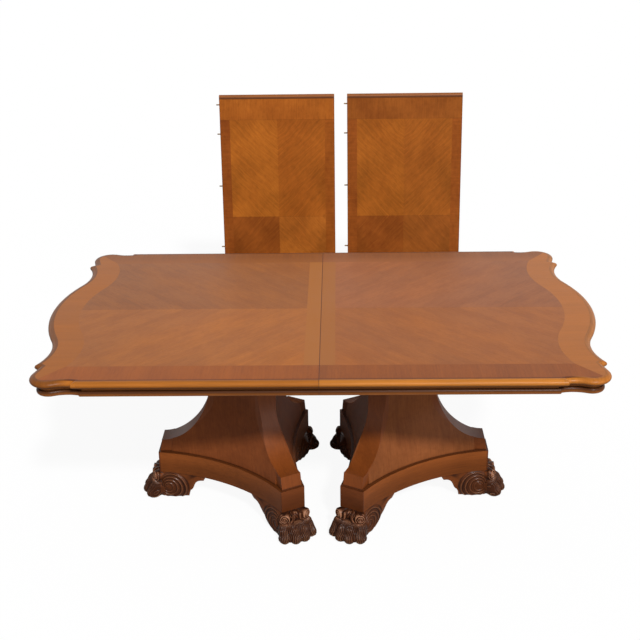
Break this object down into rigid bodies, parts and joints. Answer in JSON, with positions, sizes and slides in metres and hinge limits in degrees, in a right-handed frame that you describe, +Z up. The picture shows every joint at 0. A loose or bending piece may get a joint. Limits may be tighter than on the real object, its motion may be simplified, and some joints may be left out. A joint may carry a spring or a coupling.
{
  "type": "double pedestal extension dining table",
  "caption": "Extension dining table with a serpentine veneered top on tri-form concave pedestals with carved paw feet, its loose leaves stood on end behind it.",
  "frame": {"origin": "floor point under the middle of the closed top, where the cross seam meets the long centre line", "axes": "+X along the table towards the half that slides out, +Y from the front to the rear where the leaves stand, +Z up"},
  "size_m": [1.912, 2.2225, 1.1627],
  "materials": {
    "field_veneer": "satin lacquer over matched veneer",
    "band_veneer": "satin lacquer over crossband veneer",
    "end_veneer": "satin lacquer over veneer",
    "lipping": "satin lacquer, darkened in the grooves",
    "core_board": "raw board",
    "slide_wood": "planed and waxed",
    "pedestal_wood": "satin lacquer",
    "pedestal_veneer": "satin lacquer over bent veneer",
    "carved_wood": "dark stain and gloss lacquer over carving",
    "steel": "zinc plated",
    "brass_pins": "turned",
    "glide_plastic": "matt"
  },
  "bodies": {
    "left_half": {"cap_plate_left": "core_board", "centre_post_left": "core_board", "crossband_veneer_left": "band_veneer", "edge_lipping_left": "lipping", "end_band_veneer_left": "end_veneer", "field_veneer_left": "field_veneer", "floor_glides_left": "glide_plastic", "lock_bases": "steel", "mounting_block_left": "core_board", "paw_foot_front_left": "carved_wood", "paw_foot_outer_left": "carved_wood", "paw_foot_rear_left": "carved_wood", "pedestal_fasteners_left": "steel", "pedestal_fins_left": "pedestal_wood", "pedestal_panels_left": "pedestal_veneer", "plinth_left": "pedestal_wood", "rail_screws_left": "steel", "slide_rails_left": "slide_wood", "top_core_left": "core_board", "under_moulding_left": "lipping"},
    "right_half": {"cap_plate_right": "core_board", "centre_post_right": "core_board", "crossband_veneer_right": "band_veneer", "edge_lipping_right": "lipping", "end_band_veneer_right": "end_veneer", "field_veneer_right": "field_veneer", "floor_glides_right": "glide_plastic", "lock_keepers": "steel", "mounting_block_right": "core_board", "paw_foot_front_right": "carved_wood", "paw_foot_outer_right": "carved_wood", "paw_foot_rear_right": "carved_wood", "pedestal_fasteners_right": "steel", "pedestal_fins_right": "pedestal_wood", "pedestal_panels_right": "pedestal_veneer", "plinth_right": "pedestal_wood", "rail_screws_right": "steel", "seam_pins_right": "brass_pins", "slide_rails_right": "slide_wood", "top_core_right": "core_board", "under_moulding_right": "lipping"},
    "middle_slide_front": {"middle_rail_front": "slide_wood"},
    "middle_slide_rear": {"middle_rail_rear": "slide_wood"},
    "lock_lever_front": {"lock_lever_front": "steel"},
    "lock_lever_rear": {"lock_lever_rear": "steel"},
    "leaf_left": {"leaf_left_band_veneer": "band_veneer", "leaf_left_core": "core_board", "leaf_left_end_lipping": "lipping", "leaf_left_field_veneer": "field_veneer", "leaf_left_seam_pins": "brass_pins", "leaf_left_under_moulding": "lipping"},
    "leaf_right": {"leaf_right_band_veneer": "band_veneer", "leaf_right_core": "core_board", "leaf_right_end_lipping": "lipping", "leaf_right_field_veneer": "field_veneer", "leaf_right_seam_pins": "brass_pins", "leaf_right_under_moulding": "lipping"}
  },
  "joints": [
    {"name": "extension", "type": "slide", "parent": "left_half", "child": "right_half", "axis": [1, 0, 0], "range_m": [0, 1.084]},
    {"name": "front_middle_slide", "type": "slide", "parent": "left_half", "child": "middle_slide_front", "axis": [1, 0, 0], "range_m": [0, 0.542]},
    {"name": "rear_middle_slide", "type": "slide", "parent": "left_half", "child": "middle_slide_rear", "axis": [1, 0, 0], "range_m": [0, 0.542]},
    {"name": "front_lock_turn", "type": "hinge", "parent": "left_half", "child": "lock_lever_front", "pos_m": [-0.04, -0.413, 0.7147], "axis": [0, 0, -1], "range_deg": [0, 90]},
    {"name": "rear_lock_turn", "type": "hinge", "parent": "left_half", "child": "lock_lever_rear", "pos_m": [-0.04, 0.413, 0.7147], "axis": [0, 0, 1], "range_deg": [0, 90]},
    {"name": "leaf_left_lift", "type": "slide", "parent": "left_half", "child": "leaf_left", "axis": [0, 0, 1], "range_m": [0, 0.8]},
    {"name": "leaf_right_lift", "type": "slide", "parent": "left_half", "child": "leaf_right", "axis": [0, 0, 1], "range_m": [0, 0.8]}
  ],
  "couplings": [
    {"joint": "front_middle_slide", "follows": "extension", "ratio": 0.5},
    {"joint": "rear_middle_slide", "follows": "extension", "ratio": 0.5}
  ]
}
